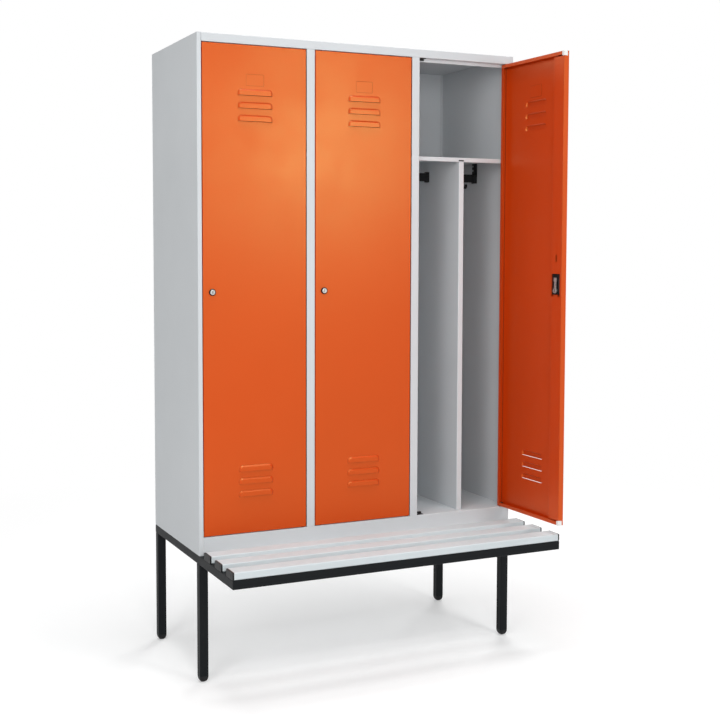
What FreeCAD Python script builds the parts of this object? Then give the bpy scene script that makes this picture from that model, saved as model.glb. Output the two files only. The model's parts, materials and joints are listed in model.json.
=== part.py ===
"""Steel clothes locker on a bench frame: three doors, three slats, one shared set of sizes.

Millimetres. +X runs to the right along the front, +Y to the back, +Z up from the floor.
The origin lies on the floor under the middle of the whole outline, right door open.
"""
import FreeCAD
import Part
import Sketcher
import math
import os
from types import SimpleNamespace

SIZES = {
    # overall
    "cabinet_width": 1200,
    "cabinet_depth": 500,
    "cabinet_height": 1700,
    "base_height": 425,
    "bench_depth": 315,
    # sheet metal
    "sheet_gauge": 1,
    "bend_radius": 2,
    "seam_gap": 0.2,
    "rear_flange": 12,
    # front frame
    "post_width": 30,
    "header_height": 28,
    "sill_height": 60,
    "sill_flange": 30,
    "return_gap": 2,
    "lip_drop": 11,
    "swing_clearance": 0.8,
    "notch_clearance": 1,
    # doors
    "door_gap": 2.5,
    "door_thickness": 20,
    "door_edge_radius": 1.5,
    "door_lip": 12,
    "open_angle": 91.5,
    # hinges
    "pin_inset": 9,
    "pin_setback": 9,
    "pin_radius": 4,
    "pin_head_radius": 7,
    "pin_head_height": 2,
    "bush_radius": 6,
    "bush_length": 11,
    "bush_flange_radius": 8.5,
    "bush_flange_height": 2,
    "running_clearance": 0.05,
    # pressed louvres and label place
    "louvre_width": 121,
    "louvre_height": 20,
    "louvre_pitch": 42,
    "louvre_projection": 5.5,
    "louvre_corner": 12,
    "louvre_slope": 5,
    "louvre_top_margin": 142,
    "louvre_bottom_margin": 123,
    "label_width": 63,
    "label_height": 38,
    "label_corner": 3,
    "label_depth": 0.6,
    "label_top_margin": 93,
    # lock
    "lock_inset": 31,
    "lock_stile_width": 57,
    "lock_window_inset": 10,
    "lock_window_width": 45,
    "lock_window_rise": 57,
    "lock_window_drop": 20,
    "lock_tab_width": 22,
    "lock_tab_height": 6,
    "lock_case_recess": 3,
    "spy_slot_width": 6,
    "spy_slot_height": 23,
    "spy_slot_rise": 110,
    "ring_radius": 11,
    "ring_height": 6.5,
    "ring_bevel": 0.8,
    "lock_hole_radius": 10,
    "plug_radius": 8.5,
    "plug_height": 7,
    "plug_bevel": 0.6,
    "shank_radius": 5,
    "key_slot_width": 2.5,
    "key_slot_length": 10,
    "key_slot_depth": 6,
    "cam_length": 44,
    "cam_neck_width": 10,
    "cam_tip_width": 15,
    "cam_tip_length": 14,
    "cam_thickness": 3,
    "cam_hub_radius": 10,
    "cam_hub_height": 4.5,
    "cam_clearance": 0.5,
    # plastic buffers and stops
    "buffer_width": 11,
    "buffer_height": 16,
    "buffer_setback": 6,
    "buffer_proud": 1,
    "buffer_corner": 5,
    "stop_width": 28,
    "stop_depth": 8,
    "stop_height": 7,
    "stop_setback": 6,
    "stop_sole": 1.8,
    "stop_clearance": 0.4,
    # inside of a compartment
    "hat_height": 339,
    "shelf_inset": 1,
    "shelf_lip": 15,
    "shelf_lip_return": 10,
    "divider_width": 20,
    "divider_gap": 2,
    "divider_return": 15,
    "clip_width": 20,
    "clip_height": 4,
    "clip_depth": 1.5,
    "clip_drop": 8,
    "rail_setback": 240,
    "rail_depth": 8,
    "rail_height": 30,
    "rail_drop": 42,
    "rail_corner": 3,
    "rail_clearance": 1,
    "hook_width": 8,
    "hook_offset": 140,
    "hook_drop": 25,
    "hook_reach": 22,
    "hook_thickness": 7,
    "hook_rise": 16,
    "collar_length": 12,
    "collar_height": 4,
    "bracket_depth": 30,
    "bracket_plate": 4,
    "bracket_cup": 3,
    "bracket_reach": 12,
    # bench base
    "tube_size": 30,
    "tube_wall": 2,
    "tube_radius": 3,
    "foot_height": 20,
    "foot_bevel": 8,
    "foot_plug_length": 25,
    "foot_plug_clearance": 0.3,
    "slat_width": 60,
    "slat_height": 24,
    "slat_wall": 3,
    "slat_screw_web": 12,
    "slat_radius": 4,
    "slat_rear_gap": 46,
    "cap_thickness": 5,
    "cap_plug_length": 10,
}

COMPARTMENTS = ("left", "middle", "right")
OPEN_DOOR = "right"
LOUVRES_PER_SET = 3


class Size:
    """A length that is a number and also the sheet formula that the number comes from."""

    def __init__(self, value, formula=None):
        self.value = value
        self.formula = formula or repr(value)

    def joined(self, sign, other, value):
        return Size(value, f"({self.formula} {sign} {other.formula})")

    def __add__(self, other):
        other = as_size(other)
        return self.joined("+", other, self.value + other.value)

    def __sub__(self, other):
        other = as_size(other)
        return self.joined("-", other, self.value - other.value)

    def __mul__(self, other):
        other = as_size(other)
        return self.joined("*", other, self.value * other.value)

    def __truediv__(self, other):
        other = as_size(other)
        return self.joined("/", other, self.value / other.value)

    def __radd__(self, other):
        return as_size(other) + self

    def __rsub__(self, other):
        return as_size(other) - self

    def __rmul__(self, other):
        return as_size(other) * self

    def __neg__(self):
        return Size(-self.value, f"(-{self.formula})")


def as_size(number):
    return number if isinstance(number, Size) else Size(number)


def sine(angle):
    return Size(math.sin(math.radians(angle.value)), f"sin({angle.formula})")


def cosine(angle):
    return Size(math.cos(math.radians(angle.value)), f"cos({angle.formula})")


def square_root(area):
    return Size(math.sqrt(area.value), f"sqrt({area.formula})")


def fill_sheet(document):
    """Write every driving size to its own aliased cell and return them by name."""
    sheet = document.addObject("Spreadsheet::Sheet", "Sizes")
    for row, (alias, value) in enumerate(SIZES.items(), 1):
        sheet.set(f"A{row}", alias)
        sheet.set(f"B{row}", str(value))
        sheet.setAlias(f"B{row}", alias)
    document.recompute()
    return SimpleNamespace(**{alias: Size(value, f"Sizes.{alias}") for alias, value in SIZES.items()})


doc = FreeCAD.newDocument("locker_with_bench")
s = fill_sheet(doc)
subparts = []

# Heights and widths that several pieces share.
gauge = s.sheet_gauge
inner_bend = s.bend_radius - gauge
half_width = s.cabinet_width / 2
module = s.cabinet_width / len(COMPARTMENTS)
stile = s.post_width / 2
opening = module - s.post_width
top = s.base_height + s.cabinet_height
header_edge = top - s.header_height
floor_level = s.base_height + s.sill_height
shelf_level = header_edge - s.hat_height
rear_sheet = s.cabinet_depth - gauge

# A door in its own frame: origin on the pin axis at the door's lower edge.
door_width = opening - 2 * s.door_gap
door_height = header_edge - floor_level - 2 * s.door_gap
free_edge = s.pin_inset - door_width
hinge_edge = s.pin_inset
door_front = -s.pin_setback
door_back = s.door_thickness - s.pin_setback
lock_x = free_edge + s.lock_inset
lock_z = door_height / 2

# What lies behind the doors keeps clear of the corner that swings back as a door opens.
corner_swing = square_root(hinge_edge * hinge_edge + door_back * door_back)
lip_setback = s.pin_setback + corner_swing + s.swing_clearance
shelf_setback = lip_setback + s.shelf_inset
divider_setback = s.door_thickness + s.divider_gap
return_depth = s.door_thickness - s.return_gap

# The open door reaches furthest forward, so the outline's middle follows it.
door_reach = (s.pin_inset - free_edge - hinge_edge) * sine(s.open_angle)
door_reach = door_reach - (door_back + s.buffer_proud) * cosine(s.open_angle) - s.pin_setback
front = (door_reach - s.cabinet_depth) / 2


def compartment_centre(index):
    return module * (index - 1)


def hinge_place(index):
    return compartment_centre(index) + opening / 2 - s.door_gap - s.pin_inset


def wall_to_wall(index):
    """Left and right limit of a compartment, measured from its centre."""
    last = len(COMPARTMENTS) - 1
    left = gauge - module / 2 if index == 0 else gauge / 2 - module / 2
    right = module / 2 - gauge if index == last else module / 2 - gauge / 2
    return left + s.seam_gap, right - s.seam_gap


# Document helpers.

def tie(owner, prop, size):
    owner.setExpression(prop, as_size(size).formula)


def new_body(label, x=0, y=front, z=0, turn=0):
    body = doc.addObject("PartDesign::Body", label)
    body.Label = label
    for axis, size in zip("xyz", (x, y, z)):
        tie(body, f"Placement.Base.{axis}", size)
    tie(body, "Placement.Rotation.Angle", turn)
    subparts.append(body)
    return body


def new_door_body(piece, index):
    turn = s.open_angle if COMPARTMENTS[index] == OPEN_DOOR else 0
    return new_body(f"{piece}_{COMPARTMENTS[index]}", hinge_place(index), front + s.pin_setback,
                    floor_level + s.door_gap, turn)


def pin_point(sketch, geometry, vertex, u, v):
    """Hold a vertex of the sketch at u, v from the sketch's origin."""
    for kind, size in (("DistanceX", u), ("DistanceY", v)):
        index = sketch.addConstraint(Sketcher.Constraint(kind, -1, 1, geometry, vertex, size.value))
        tie(sketch, f"Constraints[{index}]", size)


def add_circle(sketch, u, v, radius):
    u, v = as_size(u), as_size(v)
    centre = FreeCAD.Vector(u.value, v.value, 0)
    circle = sketch.addGeometry(Part.Circle(centre, FreeCAD.Vector(0, 0, 1), radius.value))
    pin_point(sketch, circle, 3, u, v)
    index = sketch.addConstraint(Sketcher.Constraint("Radius", circle, radius.value))
    tie(sketch, f"Constraints[{index}]", radius)


def corner_arc(before, corner, after, radius):
    """Tangent points and arc that round a corner; the arc always runs counter-clockwise."""
    towards = (corner - before).normalize()
    away = (after - corner).normalize()
    turn = math.atan2(towards.cross(away).z, towards.dot(away))
    trim = radius * abs(math.tan(turn / 2))
    arrive, leave = corner - towards * trim, corner + away * trim
    side = math.copysign(1, turn)
    centre = arrive + FreeCAD.Vector(-towards.y, towards.x, 0) * radius * side
    first, last = (arrive, leave) if side > 0 else (leave, arrive)
    angles = [math.atan2(point.y - centre.y, point.x - centre.x) for point in (first, last)]
    circle = Part.Circle(centre, FreeCAD.Vector(0, 0, 1), radius)
    return arrive, leave, Part.ArcOfCircle(circle, *angles), side > 0


def add_outline(sketch, corners):
    """Close a loop through corners (u, v) or (u, v, radius); a radius rounds that corner."""
    corners = [[as_size(size) for size in corner] for corner in corners]
    points = [FreeCAD.Vector(corner[0].value, corner[1].value, 0) for corner in corners]
    count = len(corners)
    rounded = {}
    for i, corner in enumerate(corners):
        if len(corner) > 2:
            rounded[i] = corner_arc(points[i - 1], points[i], points[(i + 1) % count], corner[2].value)
    lines = []
    for i in range(count):
        j = (i + 1) % count
        start = rounded[i][1] if i in rounded else points[i]
        end = rounded[j][0] if j in rounded else points[j]
        lines.append(sketch.addGeometry(Part.LineSegment(start, end)))
    for i, (u, v, *radius) in enumerate(corners):
        arriving, leaving = lines[i - 1], lines[i]
        if i not in rounded:
            sketch.addConstraint(Sketcher.Constraint("Coincident", arriving, 2, leaving, 1))
            pin_point(sketch, leaving, 1, u, v)
            continue
        arc = sketch.addGeometry(rounded[i][2])
        first, last = (1, 2) if rounded[i][3] else (2, 1)
        corner = sketch.addGeometry(Part.Point(points[i]), True)
        sketch.addConstraint([
            Sketcher.Constraint("Tangent", arriving, 2, arc, first),
            Sketcher.Constraint("Tangent", arc, last, leaving, 1),
            Sketcher.Constraint("PointOnObject", corner, 1, arriving),
            Sketcher.Constraint("PointOnObject", corner, 1, leaving)])
        pin_point(sketch, corner, 1, u, v)
        index = sketch.addConstraint(Sketcher.Constraint("Radius", arc, radius[0].value))
        tie(sketch, f"Constraints[{index}]", radius[0])


def new_sketch(body, plane, start, loops=(), circles=(), shift=(0, 0)):
    """Sketch on one of the body's own planes, moved along that plane's axis by start."""
    sketch = body.newObject("Sketcher::SketchObject", "outline")
    support = next(item for item in body.Origin.OriginFeatures if item.Role == f"{plane}_Plane")
    sketch.AttachmentSupport = [(support, "")]
    sketch.MapMode = "FlatFace"
    lift = -as_size(start) if plane == "XZ" else start
    for axis, size in zip("xyz", (*shift, lift)):
        tie(sketch, f"AttachmentOffset.Base.{axis}", size)
    for corners in loops:
        add_outline(sketch, corners)
    for circle in circles:
        add_circle(sketch, *circle)
    return sketch


def extrude(body, plane, start, length, loops=(), circles=()):
    """Add material from start along the plane's positive axis."""
    pad = body.newObject("PartDesign::Pad", "extrusion")
    pad.Profile = new_sketch(body, plane, start, loops, circles)
    pad.Reversed = plane == "XZ"
    tie(pad, "Length", length)
    return pad


def cut(body, plane, start, length, loops=(), circles=()):
    """Take material away from start along the plane's positive axis."""
    pocket = body.newObject("PartDesign::Pocket", "cut")
    pocket.Profile = new_sketch(body, plane, start, loops, circles)
    pocket.Reversed = plane != "XZ"
    tie(pocket, "Length", length)
    return pocket


def revolve(body, plane, start, corners, shift=(0, 0)):
    """Turn an outline of radius and height about the sketch's own vertical axis."""
    sketch = new_sketch(body, plane, start, [corners], shift=shift)
    turned = body.newObject("PartDesign::Revolution", "turning")
    turned.Profile = sketch
    turned.ReferenceAxis = (sketch, ["V_Axis"])
    return turned


def loft(body, kind, plane, sections):
    """Join outlines on parallel planes, given as (start, corners, shift)."""
    sketches = [new_sketch(body, plane, start, [corners], shift=shift) for start, corners, shift in sections]
    feature = body.newObject(f"PartDesign::{kind}", "pressing")
    feature.Profile = sketches[0]
    feature.Sections = sketches[1:]
    return feature


def dress_edges(body, kind, size, chosen):
    """Fillet or chamfer those edges of the body's last feature that chosen picks by their box."""
    doc.recompute()
    base = body.Tip
    names = [f"Edge{i}" for i, edge in enumerate(base.Shape.Edges, 1) if chosen(edge.BoundBox)]
    dressed = body.newObject(f"PartDesign::{kind}", "edges")
    dressed.Base = (base, names)
    tie(dressed, "Radius" if kind == "Fillet" else "Size", size)


def rectangle(left, low, right, high, radius=None):
    corners = [(left, low), (right, low), (right, high), (left, high)]
    return corners if radius is None else [(*corner, radius) for corner in corners]


def hexagon(u, v, radius):
    """Outline round u, v with its corners at the radius, two of them level with the centre."""
    across = radius * math.cos(math.radians(30))
    return [(u + radius, v), (u + radius / 2, v + across), (u - radius / 2, v + across),
            (u - radius, v), (u - radius / 2, v - across), (u + radius / 2, v - across)]


def near(value, size):
    return abs(value - size.value) < 1e-6


# Carcass.

def make_side_panel(label, inward, has_return):
    """Folded side with its front stile; the lock side of an opening also has a return for the cam."""
    body = new_body(label, -half_width * inward)
    front_fold = [(0, 0, s.bend_radius), (stile, 0), (stile, gauge), (gauge, gauge, inner_bend)]
    if has_return:
        front_fold = [(0, 0, s.bend_radius), (stile, 0, s.bend_radius), (stile, return_depth),
                      (stile - gauge, return_depth), (stile - gauge, gauge, inner_bend),
                      (gauge, gauge, inner_bend)]
    rear_fold = [(gauge, rear_sheet - gauge, inner_bend), (s.rear_flange, rear_sheet - gauge),
                 (s.rear_flange, rear_sheet), (0, rear_sheet, s.bend_radius)]
    section = [(as_size(u) * inward, v, *radius) for u, v, *radius in front_fold + rear_fold]
    extrude(body, "XY", s.base_height, s.cabinet_height - gauge, [section])


def make_partition(label, x):
    """Wall between two compartments with the post at its front, notched under the header."""
    body = new_body(label, x)
    half_web = gauge / 2
    section = [(-stile, 0), (stile, 0, s.bend_radius), (stile, return_depth),
               (stile - gauge, return_depth), (stile - gauge, gauge, inner_bend), (half_web, gauge),
               (half_web, rear_sheet), (-half_web, rear_sheet), (-half_web, gauge), (-stile, gauge)]
    extrude(body, "XY", floor_level, top - gauge - floor_level, [section])
    post_top = header_edge - s.seam_gap
    notch_floor = header_edge - s.lip_drop - s.notch_clearance
    notch_back = lip_setback + gauge + s.notch_clearance
    notch = [(-gauge, post_top), (gauge, post_top), (gauge, notch_floor), (notch_back, notch_floor),
             (notch_back, top), (-gauge, top)]
    cut(body, "YZ", -s.post_width, 2 * s.post_width, [notch])


def make_back_panel():
    body = new_body("back_panel")
    extrude(body, "XZ", rear_sheet, gauge, [rectangle(-half_width, s.base_height, half_width, top)])


def make_top_panel():
    """Roof, header and the stop lip behind the doors, folded from one sheet."""
    body = new_body("top_panel")
    lip_back = lip_setback + gauge
    lip_edge = header_edge - s.lip_drop
    section = [(rear_sheet, top), (0, top, s.bend_radius), (0, header_edge, s.bend_radius),
               (lip_setback, header_edge, inner_bend), (lip_setback, lip_edge), (lip_back, lip_edge),
               (lip_back, header_edge + gauge, s.bend_radius), (gauge, header_edge + gauge, inner_bend),
               (gauge, top - gauge, inner_bend), (rear_sheet, top - gauge)]
    span = half_width - stile - s.seam_gap
    extrude(body, "YZ", -span, 2 * span, [section])
    strips = [rectangle(-half_width, 0, -span, rear_sheet), rectangle(span, 0, half_width, rear_sheet)]
    extrude(body, "XY", top - gauge, gauge, strips)
    holes = [(hinge_place(i), s.pin_setback, s.pin_radius + s.running_clearance)
             for i in range(len(COMPARTMENTS))]
    cut(body, "XY", header_edge, gauge, circles=holes)


def make_bottom_panel():
    """Floor and sill with turned-in feet that stand on the bench frame."""
    body = new_body("bottom_panel")
    low, rear = s.base_height, rear_sheet
    section = [(s.sill_flange, low), (0, low, s.bend_radius), (0, floor_level, s.bend_radius),
               (rear, floor_level, s.bend_radius), (rear, low, s.bend_radius), (rear - s.sill_flange, low),
               (rear - s.sill_flange, low + gauge), (rear - gauge, low + gauge, inner_bend),
               (rear - gauge, floor_level - gauge, inner_bend), (gauge, floor_level - gauge, inner_bend),
               (gauge, low + gauge, inner_bend), (s.sill_flange, low + gauge)]
    span = half_width - stile - s.seam_gap
    extrude(body, "YZ", -span, 2 * span, [section])
    wall, strip_front = half_width - gauge - s.seam_gap, return_depth + gauge
    strip_rear = rear_sheet - gauge - s.seam_gap
    strips = [rectangle(-wall, strip_front, -span, strip_rear),
              rectangle(span, strip_front, wall, strip_rear)]
    extrude(body, "XY", floor_level - gauge, gauge, strips)
    holes = [(hinge_place(i), s.pin_setback, s.pin_radius + s.running_clearance)
             for i in range(len(COMPARTMENTS))]
    cut(body, "XY", floor_level - gauge, gauge, circles=holes)


def make_hat_shelf(index):
    body = new_body(f"hat_shelf_{COMPARTMENTS[index]}", compartment_centre(index))
    left, right = wall_to_wall(index)
    face, rear = shelf_setback, rear_sheet - gauge - s.seam_gap
    lip_edge = shelf_level - s.shelf_lip
    section = [(face, shelf_level, s.bend_radius), (face, lip_edge, s.bend_radius),
               (face + s.shelf_lip_return, lip_edge), (face + s.shelf_lip_return, lip_edge + gauge),
               (face + gauge, lip_edge + gauge, inner_bend), (face + gauge, shelf_level - gauge, inner_bend),
               (rear, shelf_level - gauge), (rear, shelf_level)]
    extrude(body, "YZ", left, right - left, [section])


def make_centre_divider(index):
    """Upright that halves the coat space, with a folded front edge and a window for the coat rail."""
    body = new_body(f"centre_divider_{COMPARTMENTS[index]}", compartment_centre(index))
    face, half = divider_setback, s.divider_width / 2
    rear = rear_sheet - s.seam_gap
    section = [(-half, face, s.bend_radius), (half, face, s.bend_radius), (half, face + s.divider_return),
               (half - gauge, face + s.divider_return), (half - gauge, face + gauge, inner_bend),
               (gauge - half, face + gauge, inner_bend), (gauge - half, rear), (-half, rear)]
    head = shelf_level - gauge - s.seam_gap
    extrude(body, "XY", floor_level, head - floor_level, [section])
    lip_back = shelf_setback + s.shelf_lip_return + s.notch_clearance
    slack = s.rail_clearance
    window = rectangle(s.rail_setback - slack, rail_top() - s.rail_height - slack,
                       s.rail_setback + s.rail_depth + slack, rail_top() + slack)
    notch = rectangle(face - gauge, shelf_level - s.shelf_lip - s.seam_gap, lip_back, shelf_level)
    cut(body, "YZ", -s.divider_width, 2 * s.divider_width, [notch, window])


def make_divider_clips():
    body = new_body("divider_clips")
    high = shelf_level - s.clip_drop
    loops = []
    for index in range(len(COMPARTMENTS)):
        left = compartment_centre(index) - s.clip_width / 2
        loops.append(rectangle(left, high - s.clip_height, left + s.clip_width, high))
    extrude(body, "XZ", shelf_setback - s.clip_depth, s.clip_depth, loops)


def rail_top():
    return shelf_level - gauge - s.rail_drop


def make_coat_rail(index):
    """Flat rail across the compartment: a hook in each half and a collar either side of the divider."""
    body = new_body(f"coat_rail_{COMPARTMENTS[index]}", compartment_centre(index))
    left, right = wall_to_wall(index)
    left, right = left + s.bracket_plate + s.seam_gap, right - s.bracket_plate - s.seam_gap
    near_side, far_side = s.rail_setback, s.rail_setback + s.rail_depth
    low = rail_top() - s.rail_height
    bar = [(near_side, low), (far_side, low), (far_side, rail_top(), s.rail_corner),
           (near_side, rail_top(), s.rail_corner)]
    extrude(body, "YZ", left, right - left, [bar])
    tip_y, base_z = near_side - s.hook_reach, low - s.hook_drop
    thick, bend = s.hook_thickness, s.hook_thickness + s.rail_corner
    root = low + s.rail_corner
    hook = [(far_side, root), (far_side, base_z, bend), (tip_y, base_z, bend), (tip_y, base_z + s.hook_rise),
            (tip_y + thick, base_z + s.hook_rise), (tip_y + thick, base_z + thick, s.rail_corner),
            (near_side, base_z + thick, s.rail_corner), (near_side, root)]
    for side in (-1, 1):
        extrude(body, "YZ", s.hook_offset * side - s.hook_width / 2, s.hook_width, [hook])
    collar = rectangle(near_side - s.collar_height, low - s.collar_height, far_side + s.collar_height,
                       rail_top() + s.collar_height)
    web_left = -s.divider_width / 2 - s.seam_gap
    web_right = gauge - s.divider_width / 2 + s.seam_gap
    for start in (web_left - s.collar_length, web_right):
        extrude(body, "YZ", start, s.collar_length, [collar])


def make_rail_brackets():
    """Wall plates under the shelves, each with a cup that holds one end of a coat rail."""
    body = new_body("rail_brackets")
    near_side, far_side = s.rail_setback - s.seam_gap, s.rail_setback + s.rail_depth + s.seam_gap
    low, high = rail_top() - s.rail_height - s.seam_gap, rail_top()
    ledge = low - s.bracket_cup
    edge = near_side - s.bracket_cup
    plate = rectangle(edge, ledge, edge + s.bracket_depth, shelf_level - gauge - s.seam_gap)
    cup = [(near_side - s.bracket_cup, ledge), (far_side + s.bracket_cup, ledge),
           (far_side + s.bracket_cup, high), (far_side, high), (far_side, low), (near_side, low),
           (near_side, high), (near_side - s.bracket_cup, high)]
    for index in range(len(COMPARTMENTS)):
        left, right = (compartment_centre(index) + limit for limit in wall_to_wall(index))
        extrude(body, "YZ", left, s.bracket_plate, [plate])
        extrude(body, "YZ", left + s.bracket_plate, s.bracket_reach, [cup])
        extrude(body, "YZ", right - s.bracket_plate, s.bracket_plate, [plate])
        extrude(body, "YZ", right - s.bracket_plate - s.bracket_reach, s.bracket_reach, [cup])


def make_hinge_pins():
    """Headed pins through the sill and the header, one pair on each door's axis."""
    body = new_body("hinge_pins")
    length = gauge + s.door_gap + s.bush_length
    floor_under, header_over = floor_level - gauge, header_edge + gauge
    lower, upper = (floor_under - s.pin_head_height, floor_under), (header_over, header_over - length)
    for index in range(len(COMPARTMENTS)):
        place = (hinge_place(index), s.pin_setback)
        for head, shank in (lower, upper):
            extrude(body, "XY", head, s.pin_head_height, [hexagon(*place, s.pin_head_radius)])
            extrude(body, "XY", shank, length, circles=[(*place, s.pin_radius)])


def make_stop_pads():
    """Pads at the lock-side corners of an opening: a thin sole under the door and a stop behind it."""
    body = new_body("stop_pads")
    stop = s.door_thickness + s.buffer_proud + s.stop_clearance
    rear = lip_setback - s.bend_radius
    lower = [(s.stop_setback, floor_level), (stop + s.stop_depth, floor_level),
             (stop + s.stop_depth, floor_level + s.stop_height), (stop, floor_level + s.stop_height),
             (stop, floor_level + s.stop_sole), (s.stop_setback, floor_level + s.stop_sole)]
    upper = [(s.stop_setback, header_edge), (s.stop_setback, header_edge - s.stop_sole),
             (stop, header_edge - s.stop_sole), (stop, header_edge - s.stop_height),
             (lip_setback, header_edge - s.stop_height), (lip_setback, header_edge - s.bend_radius),
             (rear, header_edge)]
    for index in range(len(COMPARTMENTS)):
        left = compartment_centre(index) - opening / 2
        for outline in (lower, upper):
            extrude(body, "YZ", left, s.stop_width, [outline])


# Doors, each in the frame of its own hinge.

def louvre_outline(inset, low):
    half = s.louvre_width / 2 - inset
    corner = s.louvre_corner - inset
    return [(-half, low), (half, low), (half, s.louvre_height - inset, corner),
            (-half, s.louvre_height - inset, corner)]


def press_louvres(body, lowest, reverse):
    """One set of hoods pressed out of the skin, open along their lower edge."""
    place = ((free_edge + hinge_edge) / 2, lowest)
    crown = door_front - s.louvre_projection
    foot, slope = louvre_outline(0 * gauge, 0), louvre_outline(s.louvre_slope, 0)
    hood = loft(body, "AdditiveLoft", "XZ", [(door_front, foot, place), (crown, slope, place)])
    foot, slope = louvre_outline(gauge, -s.seam_gap), louvre_outline(s.louvre_slope, -s.seam_gap)
    mouth = loft(body, "SubtractiveLoft", "XZ",
                 [(door_front + gauge, foot, place), (crown + gauge, slope, place)])
    pattern = body.newObject("PartDesign::LinearPattern", "louvre_set")
    pattern.Originals = [hood, mouth]
    pattern.Direction = (next(i for i in body.Origin.OriginFeatures if i.Role == "Z_Axis"), [""])
    pattern.Reversed = reverse
    pattern.Occurrences = LOUVRES_PER_SET
    tie(pattern, "Length", s.louvre_pitch * (LOUVRES_PER_SET - 1))
    body.Tip = pattern


def make_door_panel(index):
    """Folded door pan with louvres, label place, lock hole, bush holes and corner notches."""
    body = new_door_body("door_panel", index)
    outer = rectangle(free_edge, 0, hinge_edge, door_height)
    hollow = rectangle(free_edge + gauge, gauge, hinge_edge - gauge, door_height - gauge)
    between_lips = rectangle(free_edge + gauge, s.door_lip, hinge_edge - s.door_lip,
                             door_height - s.door_lip)
    extrude(body, "XZ", door_front, gauge, [outer])
    extrude(body, "XZ", door_front + gauge, s.door_thickness - 2 * gauge, [outer, hollow])
    extrude(body, "XZ", door_back - gauge, gauge, [outer, between_lips])
    dress_edges(body, "Fillet", s.door_edge_radius,
                lambda box: near(box.YMin, door_front) and near(box.YMax, door_front))

    bush_hole = [(0, 0, s.bush_radius + s.running_clearance)]
    for low in (as_size(0), door_height - gauge):
        cut(body, "XY", low, gauge, circles=bush_hole)
    notch_front = door_front + s.buffer_setback - s.seam_gap
    notch_height = s.buffer_height + s.seam_gap
    notches = [rectangle(notch_front, -gauge, door_back + gauge, notch_height),
               rectangle(notch_front, door_height - notch_height, door_back + gauge, door_height + gauge)]
    cut(body, "YZ", free_edge, s.buffer_width + s.seam_gap, notches)
    cut(body, "XZ", door_front, gauge, circles=[(lock_x, lock_z, s.lock_hole_radius)])

    press_louvres(body, door_height - s.louvre_top_margin - s.louvre_height, True)
    press_louvres(body, s.louvre_bottom_margin, False)

    middle = (free_edge + hinge_edge) / 2
    label_high = door_height - s.label_top_margin
    label = (middle - s.label_width / 2, label_high - s.label_height, middle + s.label_width / 2, label_high)
    border = (label[0] - gauge, label[1] - gauge, label[2] + gauge, label[3] + gauge)
    extrude(body, "XZ", door_front + gauge, s.label_depth, [rectangle(*border)])
    cut(body, "XZ", door_front, s.label_depth, [rectangle(*label, s.label_corner)])


def make_lock_stile(index):
    """Channel along the lock side, with the lock window and a small slot above it."""
    body = new_door_body("lock_stile", index)
    edge, inner = free_edge + gauge + s.seam_gap, free_edge + s.lock_stile_width
    skin = door_front + gauge + s.seam_gap
    section = [(edge, door_back - gauge), (inner - gauge, door_back - gauge, inner_bend),
               (inner - gauge, skin), (inner, skin), (inner, door_back, s.bend_radius), (edge, door_back)]
    low = s.buffer_height + 2 * s.seam_gap
    extrude(body, "XY", low, door_height - 2 * low, [section])
    left, right = lock_window()
    drop, tab = lock_z - s.lock_window_drop, s.lock_tab_width / 2
    tab_top = drop + s.lock_tab_height
    tab_x = (left + right) / 2
    window = [(left, drop), (tab_x - tab, drop), (tab_x - tab, tab_top), (tab_x + tab, tab_top),
              (tab_x + tab, drop), (right, drop), (right, lock_z + s.lock_window_rise),
              (left, lock_z + s.lock_window_rise)]
    slot_low = lock_z + s.spy_slot_rise - s.spy_slot_height / 2
    slot = rectangle(lock_x - s.spy_slot_width / 2, slot_low, lock_x + s.spy_slot_width / 2,
                     slot_low + s.spy_slot_height, s.spy_slot_width * 0.4)
    cut(body, "XZ", door_back - gauge, gauge, [window, slot])


def lock_window():
    left = free_edge + s.lock_window_inset
    return left, left + s.lock_window_width


def make_lock_case(index):
    body = new_door_body("lock_case", index)
    left, right = lock_window()
    face = door_front + gauge + s.seam_gap
    depth = door_back - s.lock_case_recess - face
    low = lock_z - s.lock_window_drop + s.lock_tab_height + s.seam_gap
    high = lock_z + s.lock_window_rise - s.seam_gap
    outline = rectangle(left + s.seam_gap, low, right - s.seam_gap, high, s.bend_radius)
    extrude(body, "XZ", face, depth, [outline])
    cut(body, "XZ", face, depth, circles=[(lock_x, lock_z, s.shank_radius + s.running_clearance)])


def make_lock_ring(index):
    body = new_door_body("lock_ring", index)
    bore, crown = s.plug_radius + s.running_clearance, door_front - s.ring_height
    section = [(bore, crown), (s.ring_radius - s.ring_bevel, crown), (s.ring_radius, crown + s.ring_bevel),
               (s.ring_radius, door_front), (bore, door_front)]
    revolve(body, "XY", lock_z, section, (lock_x, 0))


def make_lock_cylinder(index):
    """Plug with its key slot, and the shank that carries the cam."""
    body = new_door_body("lock_cylinder", index)
    crown, shoulder = door_front - s.plug_height, door_front + gauge
    rear = door_back + s.cam_clearance + s.cam_hub_height
    section = [(0, crown), (s.plug_radius - s.plug_bevel, crown),
               (s.plug_radius, crown + s.plug_bevel), (s.plug_radius, shoulder),
               (s.shank_radius, shoulder), (s.shank_radius, rear), (0, rear)]
    revolve(body, "XY", lock_z, section, (lock_x, 0))
    half_width_of_slot, half_length = s.key_slot_width / 2, s.key_slot_length / 2
    slot = rectangle(lock_x - half_width_of_slot, lock_z - half_length, lock_x + half_width_of_slot,
                     lock_z + half_length)
    cut(body, "XZ", crown, s.key_slot_depth, [slot])


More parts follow.
